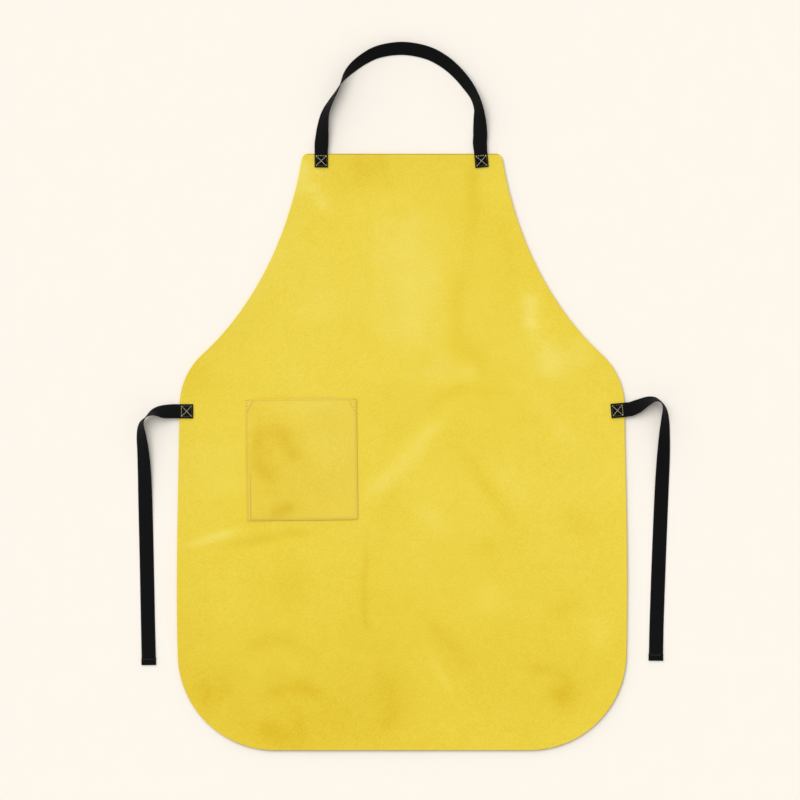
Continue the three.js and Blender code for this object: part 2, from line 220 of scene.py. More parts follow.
# A crease: its points, how deep it is and how far it reaches to each side.
CREASES = [
    ([(-37, 338), (-41, 250), (-46, 165)], 0.34, 9),
    ([(-60, 90), (-78, 112)], 0.22, 6),
    ([(-53, -98), (-48, -200), (-62, -318)], 0.38, 10),
    ([(-292, -134), (-204, -126), (-137, -106), (-92, -98)], 0.5, 8),
    ([(-48, -40), (-4, 14), (52, 58), (88, 78)], 0.3, 14),
    ([(-16, 70), (38, 102), (92, 92), (140, 98)], 0.3, 12),
    ([(102, 384), (104, 205), (126, 136), (152, 74)], 0.34, 11),
    ([(132, 284), (172, 204), (184, 160)], 0.25, 11),
    ([(-2, -198), (64, -306)], 0.22, 12),
    ([(130, -254), (212, -306), (250, -316)], 0.3, 10),
    ([(120, 44), (176, -60), (236, -120)], 0.18, 14),
    ([(-200, -160), (-160, -250), (-96, -300)], 0.22, 14),
]
CREASE_SPACING = 12 * MM
EDGE_LIFT = 1.7 * MM
EDGE_LIFT_REACH = 55 * MM
MIDDLE_LIFT = 1.2 * MM


def line_distance(x, y, points):
    """How far points are from a line, and how far along it their nearest place is, from 0 to 1."""
    place = along_line(points)
    best = np.full(len(x), np.inf)
    where = np.zeros(len(x))
    here = np.stack([x, y], axis=1)
    for a, b, start in zip(points, points[1:], place):
        step = b - a
        share = np.clip((here - a) @ step / (step @ step), 0, 1)
        gap = np.linalg.norm(here - (a + share[:, None] * step), axis=1)
        nearer = gap < best
        along = (start + share * np.linalg.norm(step)) / place[-1]
        best = np.where(nearer, gap, best)
        where = np.where(nearer, along, where)
    return best, where


def crease_height(x, y):
    total = np.zeros(len(x))
    for points, depth, reach in CREASES:
        line = resampled(np.array(points, float) * MM, CREASE_SPACING)
        gap, where = line_distance(x, y, line)
        fade = np.sin(np.pi * np.clip(where, 0.04, 0.96)) ** 0.6
        total -= depth * MM * fade * bell(gap / (reach * MM))
    return total


def lie(x, y):
    """How far the leather's underside stands off the floor."""
    x, y = np.atleast_1d(np.asarray(x, float)), np.atleast_1d(np.asarray(y, float))
    curl = np.clip(1 - edge_distance(x, y) / EDGE_LIFT_REACH, 0, 1) ** 2
    lift = EDGE_LIFT * curl * (1 + 0.5 * noise_at(x, y, 0.16, 3.1))
    swell = 0.9 * MM * noise_at(x, y, 0.17, 7.7) + 0.35 * MM * noise_at(x, y, 0.06, 1.9)
    return LEAST_CLEARANCE + np.maximum(MIDDLE_LIFT + lift + swell + crease_height(x, y), 0)


def panel_top(x, y):
    return lie(x, y) + LEATHER_THICKNESS


# ---- Materials ----

def new_material(name, roughness, sheen=0.0, specular=0.5):
    material = bpy.data.materials.new(name)
    material.use_nodes = True
    shader = material.node_tree.nodes["Principled BSDF"]
    shader.inputs["Roughness"].default_value = roughness
    shader.inputs["Specular IOR Level"].default_value = specular
    shader.inputs["Sheen Weight"].default_value = sheen
    shader.inputs["Sheen Roughness"].default_value = 0.6
    return material, material.node_tree, shader


def node(tree, kind, **settings):
    made = tree.nodes.new(kind)
    for name, value in settings.items():
        if name in made.inputs:
            made.inputs[name].default_value = value
        else:
            setattr(made, name, value)
    return made


def noise_texture(tree, scale, detail, roughness=0.5):
    """Noise in the apron's own coordinates, with scale in patches per metre."""
    place = node(tree, "ShaderNodeTexCoord")
    texture = node(tree, "ShaderNodeTexNoise", Scale=scale, Detail=detail, Roughness=roughness)
    tree.links.new(place.outputs["Object"], texture.inputs["Vector"])
    return texture.outputs["Fac"]


def ramp(tree, value, stops):
    made = node(tree, "ShaderNodeValToRGB")
    while len(made.color_ramp.elements) < len(stops):
        made.color_ramp.elements.new(0.5)
    for element, (place, colour) in zip(made.color_ramp.elements, stops):
        element.position = place
        element.color = (*colour, 1)
    tree.links.new(value, made.inputs["Fac"])
    return made.outputs["Color"]


def maths(tree, operation, first, second=0.5):
    made = node(tree, "ShaderNodeMath", operation=operation)
    for socket, value in zip(made.inputs, (first, second)):
        if isinstance(value, (int, float)):
            socket.default_value = value
        else:
            tree.links.new(value, socket)
    return made.outputs["Value"]


def mixed(tree, share, first, second):
    made = node(tree, "ShaderNodeMix", data_type="RGBA")
    factor = [s for s in made.inputs if s.type == "VALUE"][0]
    start, end = [s for s in made.inputs if s.type == "RGBA"]
    for socket, value in ((factor, share), (start, first), (end, second)):
        if isinstance(value, (int, float)):
            socket.default_value = value
        elif isinstance(value, tuple):
            socket.default_value = (*value, 1)
        else:
            tree.links.new(value, socket)
    return [s for s in made.outputs if s.type == "RGBA"][0]


def bump(tree, shader, *layers):
    """Bumps on bumps: each layer is a height and how many metres it stands."""
    last = None
    for height, distance in layers:
        made = node(tree, "ShaderNodeBump", Strength=1.0, Distance=distance)
        tree.links.new(height, made.inputs["Height"])
        if last is not None:
            tree.links.new(last, made.inputs["Normal"])
        last = made.outputs["Normal"]
    tree.links.new(last, shader.inputs["Normal"])


def attribute(tree, name):
    made = node(tree, "ShaderNodeAttribute", attribute_name=name)
    return made.outputs["Fac"]


def leather_material(name, deep, middle, pale, cut_edge_and_shade_share):
    """Split leather, lighter or darker by its "tone" number, which on the hide also carries painted
    shade and painted light along its folds; orange-brown at its "edge", partly raw-cut colour and
    partly painted shade; and darker at its needle holes, painted shade for their pits.
    """
    material, tree, shader = new_material(name, 0.88, sheen=0.1, specular=0.2)
    cloud = noise_texture(tree, 6, 3, 0.5)
    mottle = noise_texture(tree, 60, 5, 0.6)
    speckle = noise_texture(tree, 420, 3, 0.7)
    # The tone number lightens and darkens the leather: on the hide it carries painted shade and
    # painted light along the folds as well as the hide's own uneven tone.
    shade = maths(tree, "SUBTRACT", attribute(tree, "tone"), 0.05)
    for texture, weight in ((cloud, 0.26), (mottle, 0.16), (speckle, 0.68)):
        shade = maths(tree, "ADD", shade, maths(tree, "MULTIPLY", texture, weight))
    colour = ramp(tree, shade, [(0.05, deep), (0.5, middle), (0.95, pale)])
    # Towards the cut edge the colour turns orange-brown: partly the raw cut's own colour, partly
    # painted shade where the edge stands on the leather under it.
    cut_edge_and_shade_mix = maths(tree, "MULTIPLY", attribute(tree, "edge"), cut_edge_and_shade_share)
    colour = mixed(tree, cut_edge_and_shade_mix, colour, (0.6, 0.36, 0.006))
    # Painted shade in the pits of the needle holes.
    needle_pit_shade = maths(tree, "MULTIPLY", attribute(tree, "needle_pit_shade"), 0.8)
    colour = mixed(tree, needle_pit_shade, colour, (0.4, 0.21, 0.003))
    tree.links.new(colour, shader.inputs["Base Color"])
    grain = noise_texture(tree, 140, 4, 0.6)
    pores = noise_texture(tree, 420, 4, 0.65)
    nap = noise_texture(tree, 900, 3, 0.6)
    bump(tree, shader, (grain, 0.35 * MM), (pores, 0.25 * MM), (nap, 0.1 * MM))
    return material


RIB_WIDTH = 1.15 * MM
PICK_LENGTH = 1.5 * MM


def webbing_material():
    """Black webbing in a plain weave: ribs along the strap, crossed by picks that alternate."""
    material, tree, shader = new_material("webbing", 0.7, sheen=0.01, specular=0.07)
    across = maths(tree, "MULTIPLY", attribute(tree, "across"), 1 / RIB_WIDTH)
    along = maths(tree, "MULTIPLY", attribute(tree, "along"), 1 / PICK_LENGTH)
    column = maths(tree, "FLOOR", across)
    odd = maths(tree, "MULTIPLY", maths(tree, "MODULO", column, 2), 0.5)
    rib = maths(tree, "ABSOLUTE", maths(tree, "SINE", maths(tree, "MULTIPLY", across, math.pi)))
    pick_place = maths(tree, "MULTIPLY", maths(tree, "ADD", along, odd), math.pi)
    pick = maths(tree, "ABSOLUTE", maths(tree, "SINE", pick_place))
    weave = maths(tree, "MULTIPLY", rib, pick)
    fibre = noise_texture(tree, 1500, 3, 0.6)
    shadow, crown = (0.0012, 0.0012, 0.0013), (0.004, 0.0039, 0.0041)
    colour = ramp(tree, weave, [(0.0, shadow), (1.0, crown)])
    dust = noise_texture(tree, 40, 4, 0.6)
    colour = mixed(tree, maths(tree, "MULTIPLY", dust, 0.3), colour, (0.005, 0.005, 0.0051))
    selvedge = maths(tree, "MULTIPLY", attribute(tree, "selvedge"), 0.6)
    colour = mixed(tree, selvedge, colour, (0.0095, 0.0095, 0.0098))
    tree.links.new(colour, shader.inputs["Base Color"])
    bump(tree, shader, (weave, 0.22 * MM), (fibre, 0.04 * MM))
    return material


def thread_material(name, colour, dull, sheen=0.15, specular=0.3):
    material, tree, shader = new_material(name, 0.55, sheen, specular)
    ply = noise_texture(tree, 1800, 2, 0.5)
    tone = ramp(tree, ply, [(0.3, dull), (0.7, colour)])
    tree.links.new(tone, shader.inputs["Base Color"])
    bump(tree, shader, (ply, 0.06 * MM))
    return material


def floor_material():
    material, tree, shader = new_material("floor", 0.95, specular=0.0)
    paper = noise_texture(tree, 30, 3)
    tone = ramp(tree, paper, [(0.3, (0.846, 0.797, 0.722)), (0.7, (0.851, 0.802, 0.727))])
    tree.links.new(tone, shader.inputs["Base Color"])
    return material


panel_leather = leather_material(
    "panel_leather",
    deep=(0.625, 0.42, 0.008),
    middle=(0.727, 0.557, 0.044),
    pale=(0.795, 0.67, 0.14),
    cut_edge_and_shade_share=0.05,
)
pocket_leather = leather_material(
    "pocket_leather",
    deep=(0.615, 0.405, 0.01),
    middle=(0.72, 0.54, 0.05),
    pale=(0.795, 0.66, 0.145),
    cut_edge_and_shade_share=0.75,
)
webbing = webbing_material()
pale_thread = thread_material("pale_thread", (0.62, 0.57, 0.32), (0.46, 0.42, 0.22))
arrow_thread = thread_material("arrow_thread", (0.92, 0.82, 0.33), (0.85, 0.73, 0.24))
yellow_thread = thread_material("yellow_thread", (0.97, 0.86, 0.28), (0.93, 0.79, 0.2))
black_thread = thread_material("black_thread", (0.02, 0.02, 0.022), (0.008, 0.008, 0.009))
# Dark brown for the discs at the pocket's needle holes: painted shade, not the leather's colour.
needle_hole_shade = thread_material(
    "needle_hole_shade", (0.24, 0.11, 0.001), (0.16, 0.07, 0.001), sheen=0.0, specular=0.03
)


# ---- Straps ----

# The route of each strap's centre line beyond its hinge. Each stop is x and y from the middle of
# the strap's seam on the panel's edge, then the height above webbing that lies flat on the floor,
# and last the lean of the webbing about its own line in degrees: flat at 0, on its edge at 90 and
# flat on its other face at 180. The neck strap's crown is measured from the middle of the bib.
NECK_LEFT_SIDE = [
    (0, 0.0085, 0.0033, -6),
    (0.0004, 0.0225, 0.0046, -22),
    (0.0013, 0.0375, 0.0064, -38),
    (0.0048, 0.0555, 0.0082, -57),
    (0.0118, 0.07, 0.009, -70),
    (0.0198, 0.0835, 0.0093, -81),
    (0.0258, 0.095, 0.0094, -91),
    (0.0318, 0.105, 0.009, -110),
    (0.042, 0.116, 0.0078, -127),
    (0.0565, 0.127, 0.007, -137),
    (0.0744, 0.136, 0.0058, -146),
]
NECK_CROWN = [(0, 0.141, 0.0046, -153)]
NECK_RIGHT_SIDE = [
    (-0.074, 0.1354, 0.0046, -153),
    (-0.053, 0.125, 0.0052, -149),
    (-0.0356, 0.1108, 0.0059, -144),
    (-0.021, 0.094, 0.0068, -139),
    (-0.0096, 0.076, 0.008, -127),
    (-0.0042, 0.0593, 0.0078, -131),
    (-0.003, 0.0455, 0.0056, -150),
    (-0.0022, 0.0305, 0.004, -168),
    (-0.0006, 0.015, 0.0032, -178),
    (0, 0.0085, 0.003, -180),
]
LEFT_TIE = [
    (-0.009, 0, 0.0035, 4),
    (-0.0165, -0.0004, 0.005, 14),
    (-0.024, -0.0008, 0.0072, 29),
    (-0.0305, -0.0013, 0.0096, 50),
    (-0.036, -0.0025, 0.0114, 67),
    (-0.0415, -0.0052, 0.0124, 82),
    (-0.046, -0.0095, 0.0126, 87),
    (-0.0492, -0.015, 0.012, 73),
    (-0.0507, -0.0225, 0.0104, 58),
    (-0.0504, -0.0345, 0.0082, 44),
    (-0.0485, -0.054, 0.0056, 31),
    (-0.047, -0.0795, 0.0034, 19),
    (-0.046, -0.115, 0.0014, 8),
    (-0.045, -0.155, 0.0003, 1),
    (-0.044, -0.2, 0.0001, 0),
    (-0.043, -0.25, 0.0001, 0),
    (-0.042, -0.3, 0.0002, 0),
    (-0.0415, -0.323, 0.0009, 0),
    (-0.0413, -0.331, 0.0013, 0),
    (-0.0412, -0.339, 0.0013, 0),
]
RIGHT_TIE = [
    (0.008, 0, 0.0035, -4),
    (0.015, 0.0029, 0.005, -16),
    (0.0235, 0.008, 0.0074, -37),
    (0.032, 0.012, 0.01, -54),
    (0.0398, 0.0138, 0.0119, -71),
    (0.0462, 0.0123, 0.0127, -84),
    (0.0502, 0.0081, 0.0126, -84),
    (0.0528, 0.0009, 0.0116, -71),
    (0.0538, -0.0125, 0.0092, -54),
    (0.0531, -0.0355, 0.0064, -36),
    (0.0518, -0.0655, 0.0038, -20),
    (0.0504, -0.0935, 0.002, -11),
    (0.0484, -0.14, 0.0005, -3),
    (0.0462, -0.195, 0.0001, 0),
    (0.0444, -0.245, 0.0001, 0),
    (0.0428, -0.296, 0.0002, 0),
    (0.0423, -0.319, 0.0009, 0),
    (0.0421, -0.327, 0.0013, 0),
    (0.042, -0.335, 0.0013, 0),
]


class Seam:
    """Where a strap crosses the panel's edge, and which way its sewn patch lies.

    The CAD's seam is at cad_edge. The photo's is tilted by some degrees, shifted along X and a
    little wider or narrower, which spread gives as a share.
    """

    def __init__(self, node_name, outward, tilt, spread, shift=0.0):
        low, high = (np.array(corner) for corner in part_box(node_name + "_sewn_end"))
        self.outward = np.array([*outward, 0.0])
        half_length = abs((high - low) @ self.outward) / 2
        middle = (low + high) / 2 * (1, 1, 0)
        self.cad_edge = middle + self.outward * (half_length - SEWN_END_BEYOND_EDGE)
        self.edge = self.cad_edge + (shift, 0, 0)
        self.inward = -turned(self.outward, math.radians(tilt))
        self.side = np.array([self.inward[1], -self.inward[0], 0.0])
        self.spread = spread

    def place(self, inside, sideways=0.0):
        """A point of the patch, from the panel's edge inwards and sideways across the strap."""
        return self.edge + inside * self.inward + sideways * self.side


seams = {
    "neck_strap_left": Seam("neck_strap_left", (0, 1), tilt=0, spread=0.94, shift=-1.2 * MM),
    "neck_strap_right": Seam("neck_strap_right", (0, 1), tilt=5, spread=0.94, shift=-1.5 * MM),
    "left_waist_tie": Seam("left_waist_tie", (-1, 0), tilt=0, spread=1.0),
    "right_waist_tie": Seam("right_waist_tie", (1, 0), tilt=5, spread=1.02),
}


def stops_from(place, stops):
    """A strap's stops as places in the frame, with their leans."""
    return [
        (place[0] + x, place[1] + y, STRAP_THICKNESS / 2 + height, lean)
        for x, y, height, lean in stops
    ]


def carried_tilt(seam, places, reach):
    """Lets a free strap leave the panel in line with its tilted and shifted patch."""
    drift = -STRAIGHTENING * np.dot(seam.side, seam.outward)
    straight = np.array([seam.outward[1], -seam.outward[0], 0.0])
    fade = 1 - smoothstep(reach / TILT_FADE)
    places = places - (drift * np.minimum(reach, TILT_FADE) * fade)[:, None] * straight
    return places + (1 - smoothstep(reach / SHIFT_FADE))[:, None] * (seam.edge - seam.cad_edge)


def hinge_stop(seam, lean):
    """The first or last stop of a free strap, just beyond its seam."""
    x, y, _ = seam.cad_edge + FREE_STRAP_BEYOND_EDGE * seam.outward
    return [(x, y, UPPER_LAYER, lean)]


def smooth_route(stops, spacing):
    """Places and leans about spacing apart on a centripetal Catmull-Rom curve through the stops."""
    stops = np.array(stops, float)
    ends = 2 * stops[[0, -1]] - stops[[1, -2]]
    padded = np.vstack([ends[:1], stops, ends[1:]])
    gaps = np.sqrt(np.linalg.norm(np.diff(padded[:, :3], axis=0), axis=1))
    made = []
    for i in range(len(stops) - 1):
        a, b, c, d = padded[i : i + 4]
        before, here, after = gaps[i : i + 3]
        start = here * ((b - a) / before - (c - a) / (before + here) + (c - b) / here)
        end = here * ((c - b) / here - (d - b) / (here + after) + (d - c) / after)
        count = max(2, int(np.linalg.norm((c - b)[:3]) / spacing))
        for t in np.arange(count) / count:
            made.append(
                (2 * t**3 - 3 * t**2 + 1) * b
                + (t**3 - 2 * t**2 + t) * start
                + (3 * t**2 - 2 * t**3) * c
                + (t**3 - t**2) * end
            )
    made.append(stops[-1])
    return np.array(made)


def leaning_across(route):
    """The way across the strap at each place of its route."""
    places = route[:, :3]
    along = np.gradient(places, axis=0)
    along /= np.linalg.norm(along, axis=1)[:, None]
    across = np.stack([along[:, 1], -along[:, 0], np.zeros(len(along))], axis=1)
    across /= np.linalg.norm(across, axis=1)[:, None]
    lean = np.radians(route[:, 3])[:, None]
    return across * np.cos(lean) + np.cross(along, across) * np.sin(lean)


def folded_layers(seam):
    """Places along a sewn end: its tail under the strap, then the fold, then out to the edge."""
    bend = SEWN_LENGTH - STRAP_THICKNESS
    radius = (UPPER_LAYER - LOWER_LAYER) / 2
    middle = (UPPER_LAYER + LOWER_LAYER) / 2
    tail = [(inside, LOWER_LAYER) for inside in np.linspace(TURN_UNDER_FROM_EDGE, bend, 10)[:-1]]
    fold = [
        (bend + radius * math.cos(angle), middle + radius * math.sin(angle))
        for angle in np.linspace(-math.pi / 2, math.pi / 2, 11)
    ]
    top = [(inside, UPPER_LAYER) for inside in np.linspace(bend, 0, 12)[1:]]
    places = [seam.place(inside) + (0, 0, height) for inside, height in tail + fold + top]
    return np.array(places)


def hem_fold(last, travel):
    """Places round a tie's free end, which is folded under itself."""
    radius = STRAP_THICKNESS * 0.52
    fold = [
        (radius * math.cos(angle), radius * math.sin(angle) - radius)
        for angle in np.linspace(math.pi / 2, -math.pi / 2, 9)[1:]
    ]
    under = [(-reach, -2 * radius) for reach in np.linspace(0, TIE_HEM_LENGTH, 6)[1:]]
    return np.array([last + reach * travel + (0, 0, drop) for reach, drop in fold + under])


# Half of the webbing's section in millimetres, from the middle out: the place across the strap and
# half the thickness there. It is drawn 19 mm wide, because a dark strap renders a little narrow.
HALF_SECTION = [
    (0.0, 0.56),
    (2.6, 0.56),
    (5.2, 0.55),
    (7.1, 0.53),
    (7.6, 0.42),
    (8.1, 0.5),
    (8.8, 0.54),
    (9.3, 0.4),
    (9.5, 0.12),
]
SELVEDGE_PLACE = 8.5 * MM
SELVEDGE_REACH = 0.6 * MM


def section():
    """The webbing's whole outline, once round."""
    upper = [(-a, h) for a, h in HALF_SECTION[:0:-1]] + HALF_SECTION
    lower = [(a, -h) for a, h in reversed(upper)]
    return np.array(upper + lower) * MM


def ribbon(name, places, across, spread):
    """Webbing along places, with numbers for its weave; spread makes it wider or narrower."""
    along = np.gradient(places, axis=0)
    along /= np.linalg.norm(along, axis=1)[:, None]
    across = across - (across * along).sum(axis=1)[:, None] * along
    across /= np.linalg.norm(across, axis=1)[:, None]
    face = np.cross(across, along)
    outline = section()
    sideways = outline[None, :, :1] * (across * spread[:, None])[:, None]
    rings = places[:, None] + sideways + outline[None, :, 1:] * face[:, None]
    around = len(outline)
    count = len(places)
    faces = []
    for i in range(count - 1):
        for j in range(around):
            here, after = i * around + j, i * around + (j + 1) % around
            faces.append((here, here + around, after + around, after))
    faces.append(tuple(range(around)))
    faces.append(tuple((count - 1) * around + j for j in reversed(range(around))))
    piece = add_piece(name, rings.reshape(-1, 3), faces, webbing)
    add_number(piece, "across", np.tile(outline[:, 0], count))
    add_number(piece, "along", np.repeat(along_line(places), around))
    near_edge = bell((np.abs(outline[:, 0]) - SELVEDGE_PLACE) / SELVEDGE_REACH)
    add_number(piece, "selvedge", np.tile(near_edge, count))
    return piece


def settle(places, from_edge):
    """Lifts a strap onto the leather under its sewn end, and lets it down beyond the edge."""
    carried = lie(places[:, 0], places[:, 1])
    share = 1 - smoothstep(from_edge / CARRY_FADE)
    places[:, 2] += carried * share
    return places


def strap(name, route_stops, start_seam, end_seam=None):
    """One strap with its sewn end or ends, and the places along its middle."""
    route = smooth_route(route_stops, ROUTE_SPACING)
    from_start = along_line(route[:, :3]) + FREE_STRAP_BEYOND_EDGE
    route[:, :3] = carried_tilt(start_seam, route[:, :3], from_start)
    if end_seam is not None:
        route[:, :3] = carried_tilt(end_seam, route[:, :3], from_start[::-1])
    free_across = leaning_across(route)
    head = folded_layers(start_seam)
    parts = [head, route[:, :3]]
    ways = [np.tile(free_across[0], (len(head), 1)), free_across]
    free_length = along_line(route[:, :3])
    reach = [np.zeros(len(head)), free_length]
    if end_seam is None:
        travel = route[-1, :3] - route[-2, :3]
        tail = hem_fold(route[-1, :3], travel / np.linalg.norm(travel))
    else:
        tail = folded_layers(end_seam)[::-1]
        reach[1] = np.minimum(free_length, free_length[-1] - free_length)
    parts.append(tail)
    ways.append(np.tile(free_across[-1], (len(tail), 1)))
    reach.append(np.full(len(tail), 1.0 if end_seam is None else 0.0))
    reach = np.concatenate(reach)
    places = settle(np.vstack(parts), reach)
    spread = 1 - (1 - start_seam.spread) * (1 - smoothstep(reach / SPREAD_FADE))
    if end_seam is None:
        to_end = along_line(places)[-1] - TIE_HEM_LENGTH - along_line(places)
        spread += HEM_WIDER * (1 - smoothstep(to_end / HEM_FADE))
    return ribbon(name, places, np.vstack(ways), spread), places


neck_stops = (
    hinge_stop(seams["neck_strap_left"], 0)
    + stops_from(seams["neck_strap_left"].cad_edge, NECK_LEFT_SIDE)
    + stops_from((0, panel_high.y), NECK_CROWN)
    + stops_from(seams["neck_strap_right"].cad_edge, NECK_RIGHT_SIDE)
    + hinge_stop(seams["neck_strap_right"], -180)
)
tie_stops = {
    tie: hinge_stop(seams[tie], 0) + stops_from(seams[tie].cad_edge, stops)
    for tie, stops in (("left_waist_tie", LEFT_TIE), ("right_waist_tie", RIGHT_TIE))
}


def finish_strap(piece, nodes):
    """Hides the strap's CAD parts and bakes its placement into its mesh."""
    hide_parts(*nodes)
    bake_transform(piece)


# ---- Thread ----

class Thread:
    """A run of separate stitches, gathered into one mesh."""

    AROUND = 6
    CROWN = 0.14 * MM
    BACK_RISE = 0.12 * MM
    PROFILE = [(-1.0, 0.35), (-0.8, 0.8), (-0.35, 1.0), (0.35, 1.0), (0.8, 0.8), (1.0, 0.35)]

    def __init__(self):
        self.points = []
        self.faces = []
        self.kinds = []

    def capsule(self, start, end, radius, crown, kind=0, flatness=1.0):
        """One stitch from start to end, humped by crown at its middle and its ends let down."""
        start, end = np.array(start, float), np.array(end, float)
        way = end - start
        length = np.linalg.norm(way)
        way = way / length
        side = np.array([way[1], -way[0], 0.0])
        side /= np.linalg.norm(side)
        up = np.cross(side, way)
        first = len(self.points)
        for share, fatness in self.PROFILE:
            middle = (start + end) / 2 + way * share * length / 2 + up * crown * (1 - share**2)
            for k in range(self.AROUND):
                angle = 2 * math.pi * k / self.AROUND
                outward = side * math.cos(angle) + up * math.sin(angle) * flatness
                self.points.append(middle + radius * fatness * outward)
        rings = len(self.PROFILE)
        for i in range(rings - 1):
            for k in range(self.AROUND):
                a, b = first + i * self.AROUND, first + (i + 1) * self.AROUND
                after = (k + 1) % self.AROUND
                self.faces.append((a + k, a + after, b + after, b + k))
        self.faces.append(tuple(first + k for k in reversed(range(self.AROUND))))
        last = first + (rings - 1) * self.AROUND
        self.faces.append(tuple(last + k for k in range(self.AROUND)))
        self.kinds += [kind] * ((rings - 1) * self.AROUND + 2)

    def row(
        self,
        line,
        height,
        pitch,
        radius=0.36 * MM,
        gap=0.5 * MM,
        proud=0.12 * MM,
        wander=0.12 * MM,
        back=None,
        holes=False,
    ):
        """Stitches along a line of x and y, on the surface that height gives.

        Where back gives the height of the leather's underside, the lower thread is there too.
        """
        line = np.array(line, float)[:, :2]
        place = along_line(line)
        count = max(1, int(round(place[-1] / pitch)))
        ends = np.linspace(0, place[-1], count + 1)
        xs, ys = (np.interp(ends, place, line[:, k]) for k in (0, 1))
        zs = height(xs, ys)
        knots = np.stack([xs, ys, zs], axis=1)
        wobble = noise_at(xs, ys, 3 * MM, 5.3) * wander
        lift = np.array([0, 0, proud - radius * 0.4])
        for a, b, w in zip(knots, knots[1:], wobble):
            way = (b - a) / np.linalg.norm(b - a)
            sideways = np.array([way[1], -way[0], 0.0]) * w
            start, end = a + way * gap / 2 + sideways, b - way * gap / 2 - sideways
            self.capsule(start + lift, end + lift, radius, self.CROWN)
            if back is not None:
                low = [(x, y, back(x, y)[0] + self.BACK_RISE) for x, y, _ in (start, end)]
                self.capsule(*low, radius * 0.8, -0.06 * MM)
        if holes:
            for knot in knots:
                self.hole(knot)

    def hole(self, place):
        """A flat dark disc just below the leather's face: painted shade for the pit where the needle
        went in.
        """
        reach = np.array([0.55 * MM, 0, 0])
        low = place - (0, 0, 0.06 * MM)
        self.capsule(low - reach, low + reach, 0.56 * MM, 0.0, kind=1, flatness=0.25)

    def build(self, name, *materials):
        return add_piece(name, self.points, self.faces, *materials, face_materials=self.kinds)


def sewn_end_top(x, y):
    """The height of a sewn end's upper face."""
    return lie(x, y) + UPPER_LAYER + STITCH_LEVEL


# The rows of a box stitch: a square, whose row by the panel's edge shows best, and a bold cross in
# it. Each is its two corners, then the stitches' pitch, radius, gap, rise and wander in millimetres.
BOX_ROWS = [
    (0, 1, 2.5, 0.44, 1.1, 0.16, 0.05),
    (1, 2, 2.3, 0.14, 1.5, -0.04, 0.12),
    (2, 3, 2.3, 0.14, 1.5, -0.04, 0.12),
    (3, 0, 2.3, 0.14, 1.5, -0.04, 0.12),
    (0, 2, 3.2, 0.27, 0.02, 0.16, 0.0),
    (1, 3, 3.2, 0.27, 0.02, 0.24, 0.0),
]


def box_stitch(name):
    """The box and cross of thread that holds one sewn end."""
    seam = seams[name]
    half = BOX_STITCH_WIDTH / 2
    near, far = BOX_STITCH_FROM_EDGE, BOX_STITCH_FROM_EDGE + BOX_STITCH_LENGTH
    corners = [
        seam.place(inside, sideways)
        for inside, sideways in ((near, -half), (near, half), (far, half), (far, -half))
    ]
    thread = Thread()
    for start, end, *sizes in BOX_ROWS:
        line = [corners[start], corners[end]]
        thread.row(line, sewn_end_top, *(size * MM for size in sizes), back=lie)
    piece = thread.build(name + "_box_stitch_thread", pale_thread)
    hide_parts(name + "_box_stitch")
    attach(piece, "root")


# Points of each arrowhead, in millimetres from the seam's middle on the bib's edge.
ARROWS = {
    "neck_strap_left": [
        [(-7.4, -21.2), (-1.1, -30.2), (8.3, -22.5)],
        [(-2.6, -23.6), (-0.6, -26.4), (2.6, -23.8)],
    ],
    "neck_strap_right": [[(-3.8, -22), (1.3, -27.9), (8.3, -20.8)]],
}


def arrow_stitch(name):
    """The small arrowhead of thread below one end of the neck strap."""
    seam = seams[name]
    thread = Thread()
    for points in ARROWS[name]:
        line = [(seam.edge[0] + x * MM, seam.edge[1] + y * MM) for x, y in points]
        thread.row(line, panel_top, 2.4 * MM, radius=0.38 * MM, back=lie)
    piece = thread.build(name + "_arrow_stitch_thread", arrow_thread)
    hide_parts(name + "_arrow_stitch")
    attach(piece, "root")


# ---- Leather sheets ----

# The rings of a cut edge from top to bottom: how far out each one lies and how far down, as shares
# of the edge's rounding and of the leather's thickness.
RIM = [(0.72, 0.1), (1.0, 0.32), (1.0, 0.72), (0.72, 0.92)]


def leather_sheet(name, x, y, top, thickness, material):
    """A closed sheet of leather over a grid of x and y, its cut edge a little rounded."""
    rows, columns = x.shape
    loop = (
        [(0, j) for j in range(columns)]
        + [(i, columns - 1) for i in range(1, rows)]
        + [(rows - 1, j) for j in range(columns - 2, -1, -1)]
        + [(i, 0) for i in range(rows - 2, 0, -1)]
    )
    loop_index = np.array([i * columns + j for i, j in loop])
    flat = np.stack([x.ravel(), y.ravel()], axis=1)
    edge = flat[loop_index]
    way = np.roll(edge, -1, axis=0) - np.roll(edge, 1, axis=0)
    way /= np.maximum(np.linalg.norm(way, axis=1), 1e-9)[:, None]
    outward = np.stack([-way[:, 1], way[:, 0]], axis=1)
    heights = top(flat[:, 0], flat[:, 1])
    inset = flat.copy()
    inset[loop_index] -= outward * CUT_EDGE_ROUNDING
    upper = np.column_stack([inset, heights])
    lower = np.column_stack([inset, heights - thickness])
    rim = []
    for out, drop in RIM:
        ring = edge - outward * CUT_EDGE_ROUNDING * (1 - out)
        rim.append(np.column_stack([ring, heights[loop_index] - drop * thickness]))
    points = np.vstack([upper, lower, *rim])
    size = rows * columns
    faces = []
    for i in range(rows - 1):
        for j in range(columns - 1):
            a = i * columns + j
            quad = (a, a + columns, a + columns + 1, a + 1)
            faces.append(quad)
            faces.append(tuple(size + k for k in reversed(quad)))
    around = len(loop)
    rim_rings = [2 * size + k * around + np.arange(around) for k in range(len(rim))]
    rings = [loop_index, *rim_rings, size + loop_index]
    for above, below in zip(rings, rings[1:]):
        for k in range(around):
            after = (k + 1) % around
            faces.append((above[k], above[after], below[after], below[k]))
    piece = add_piece(name, points, [tuple(int(v) for v in f) for f in faces], material)
    return piece, points
